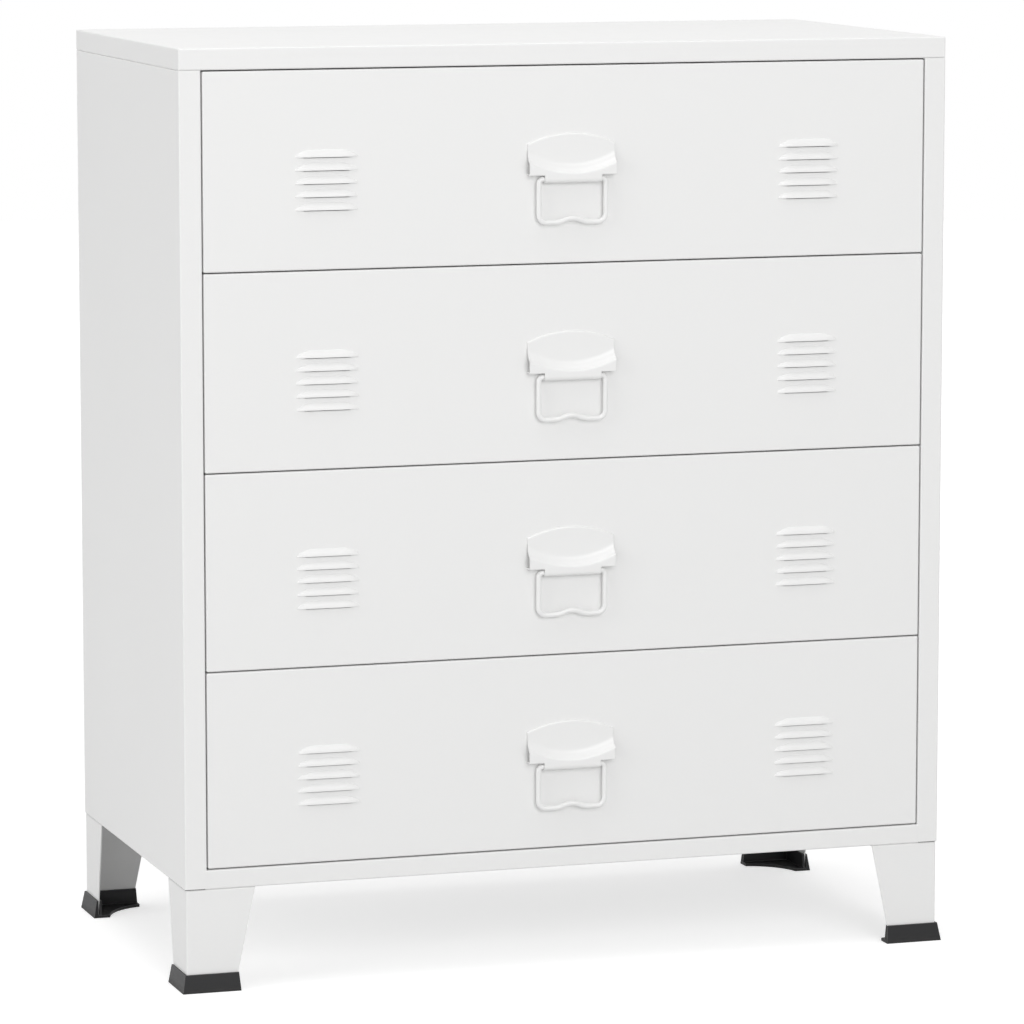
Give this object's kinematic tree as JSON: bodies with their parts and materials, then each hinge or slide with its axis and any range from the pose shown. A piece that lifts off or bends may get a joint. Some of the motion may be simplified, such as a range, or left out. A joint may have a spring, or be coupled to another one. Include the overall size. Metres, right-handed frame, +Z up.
{
  "type": "metal drawer cabinet",
  "caption": "Upright white sheet-steel drawer cabinet on tapered angle legs with black shoes; louvred drawers on roller runners open by hinged wire bail handles.",
  "frame": {"origin": "on the floor under the centre of the overall box, drawers closed and bails hanging", "axes": "+Z up, +X to the right of someone facing the drawers, drawers open towards -Y"},
  "size_m": [0.798, 0.433, 0.92],
  "materials": {
    "white_coat": "satin white powder coat",
    "runner_coat": "off-white epoxy coat on rolled steel",
    "black_shoe": "black moulded plastic, slightly shiny",
    "nylon": "natural nylon",
    "zinc_steel": "bright zinc plate"
  },
  "bodies": {
    "cabinet": {"top_panel": "white_coat", "left_side_panel": "white_coat", "right_side_panel": "white_coat", "back_panel": "white_coat", "bottom_panel": "white_coat", "front_left_leg": "white_coat", "front_right_leg": "white_coat", "rear_left_leg": "white_coat", "rear_right_leg": "white_coat", "front_left_foot": "black_shoe", "front_right_foot": "black_shoe", "rear_left_foot": "black_shoe", "rear_right_foot": "black_shoe", "leg_bolts": "zinc_steel", "back_screws": "zinc_steel", "left_runner_1": "runner_coat", "right_runner_1": "runner_coat", "left_runner_2": "runner_coat", "right_runner_2": "runner_coat", "left_runner_3": "runner_coat", "right_runner_3": "runner_coat", "left_runner_4": "runner_coat", "right_runner_4": "runner_coat"},
    "drawer_1": {"drawer_front_1": "white_coat", "drawer_tray_1": "white_coat", "handle_plate_1": "white_coat", "handle_nuts_1": "zinc_steel", "left_drawer_rail_1": "runner_coat", "right_drawer_rail_1": "runner_coat"},
    "bail_1": {"handle_bail_1": "white_coat"},
    "runner_rollers_1": {"front_rollers_1": "nylon"},
    "drawer_rollers_1": {"rear_rollers_1": "nylon"},
    "drawer_2": {"drawer_front_2": "white_coat", "drawer_tray_2": "white_coat", "handle_plate_2": "white_coat", "handle_nuts_2": "zinc_steel", "left_drawer_rail_2": "runner_coat", "right_drawer_rail_2": "runner_coat"},
    "bail_2": {"handle_bail_2": "white_coat"},
    "runner_rollers_2": {"front_rollers_2": "nylon"},
    "drawer_rollers_2": {"rear_rollers_2": "nylon"},
    "drawer_3": {"drawer_front_3": "white_coat", "drawer_tray_3": "white_coat", "handle_plate_3": "white_coat", "handle_nuts_3": "zinc_steel", "left_drawer_rail_3": "runner_coat", "right_drawer_rail_3": "runner_coat"},
    "bail_3": {"handle_bail_3": "white_coat"},
    "runner_rollers_3": {"front_rollers_3": "nylon"},
    "drawer_rollers_3": {"rear_rollers_3": "nylon"},
    "drawer_4": {"drawer_front_4": "white_coat", "drawer_tray_4": "white_coat", "handle_plate_4": "white_coat", "handle_nuts_4": "zinc_steel", "left_drawer_rail_4": "runner_coat", "right_drawer_rail_4": "runner_coat"},
    "bail_4": {"handle_bail_4": "white_coat"},
    "runner_rollers_4": {"front_rollers_4": "nylon"},
    "drawer_rollers_4": {"rear_rollers_4": "nylon"}
  },
  "joints": [
    {"name": "drawer_1_slide", "type": "slide", "parent": "cabinet", "child": "drawer_1", "axis": [0, -1, 0], "range_m": [0, 0.27]},
    {"name": "bail_1_swing", "type": "hinge", "parent": "drawer_1", "child": "bail_1", "pos_m": [0, -0.21268, 0.7876], "axis": [-1, 0, 0], "range_deg": [0, 100]},
    {"name": "runner_rollers_1_turn", "type": "hinge", "parent": "cabinet", "child": "runner_rollers_1", "pos_m": [0, -0.17347, 0.72013], "axis": [1, 0, 0], "continuous": true},
    {"name": "drawer_rollers_1_turn", "type": "hinge", "parent": "drawer_1", "child": "drawer_rollers_1", "pos_m": [0, 0.16453, 0.72213], "axis": [1, 0, 0], "continuous": true},
    {"name": "drawer_2_slide", "type": "slide", "parent": "cabinet", "child": "drawer_2", "axis": [0, -1, 0], "range_m": [0, 0.27]},
    {"name": "bail_2_swing", "type": "hinge", "parent": "drawer_2", "child": "bail_2", "pos_m": [0, -0.21268, 0.59342], "axis": [-1, 0, 0], "range_deg": [0, 100]},
    {"name": "runner_rollers_2_turn", "type": "hinge", "parent": "cabinet", "child": "runner_rollers_2", "pos_m": [0, -0.17347, 0.52595], "axis": [1, 0, 0], "continuous": true},
    {"name": "drawer_rollers_2_turn", "type": "hinge", "parent": "drawer_2", "child": "drawer_rollers_2", "pos_m": [0, 0.16453, 0.52795], "axis": [1, 0, 0], "continuous": true},
    {"name": "drawer_3_slide", "type": "slide", "parent": "cabinet", "child": "drawer_3", "axis": [0, -1, 0], "range_m": [0, 0.27]},
    {"name": "bail_3_swing", "type": "hinge", "parent": "drawer_3", "child": "bail_3", "pos_m": [0, -0.21268, 0.39925], "axis": [-1, 0, 0], "range_deg": [0, 100]},
    {"name": "runner_rollers_3_turn", "type": "hinge", "parent": "cabinet", "child": "runner_rollers_3", "pos_m": [0, -0.17347, 0.33177], "axis": [1, 0, 0], "continuous": true},
    {"name": "drawer_rollers_3_turn", "type": "hinge", "parent": "drawer_3", "child": "drawer_rollers_3", "pos_m": [0, 0.16453, 0.33377], "axis": [1, 0, 0], "continuous": true},
    {"name": "drawer_4_slide", "type": "slide", "parent": "cabinet", "child": "drawer_4", "axis": [0, -1, 0], "range_m": [0, 0.27]},
    {"name": "bail_4_swing", "type": "hinge", "parent": "drawer_4", "child": "bail_4", "pos_m": [0, -0.21268, 0.20508], "axis": [-1, 0, 0], "range_deg": [0, 100]},
    {"name": "runner_rollers_4_turn", "type": "hinge", "parent": "cabinet", "child": "runner_rollers_4", "pos_m": [0, -0.17347, 0.1376], "axis": [1, 0, 0], "continuous": true},
    {"name": "drawer_rollers_4_turn", "type": "hinge", "parent": "drawer_4", "child": "drawer_rollers_4", "pos_m": [0, 0.16453, 0.1396], "axis": [1, 0, 0], "continuous": true}
  ],
  "couplings": [
    {"joint": "runner_rollers_1_turn", "follows": "drawer_1_slide", "rad_per_m": 111.11},
    {"joint": "drawer_rollers_1_turn", "follows": "drawer_1_slide", "rad_per_m": 90.909},
    {"joint": "runner_rollers_2_turn", "follows": "drawer_2_slide", "rad_per_m": 111.11},
    {"joint": "drawer_rollers_2_turn", "follows": "drawer_2_slide", "rad_per_m": 90.909},
    {"joint": "runner_rollers_3_turn", "follows": "drawer_3_slide", "rad_per_m": 111.11},
    {"joint": "drawer_rollers_3_turn", "follows": "drawer_3_slide", "rad_per_m": 90.909},
    {"joint": "runner_rollers_4_turn", "follows": "drawer_4_slide", "rad_per_m": 111.11},
    {"joint": "drawer_rollers_4_turn", "follows": "drawer_4_slide", "rad_per_m": 90.909}
  ]
}
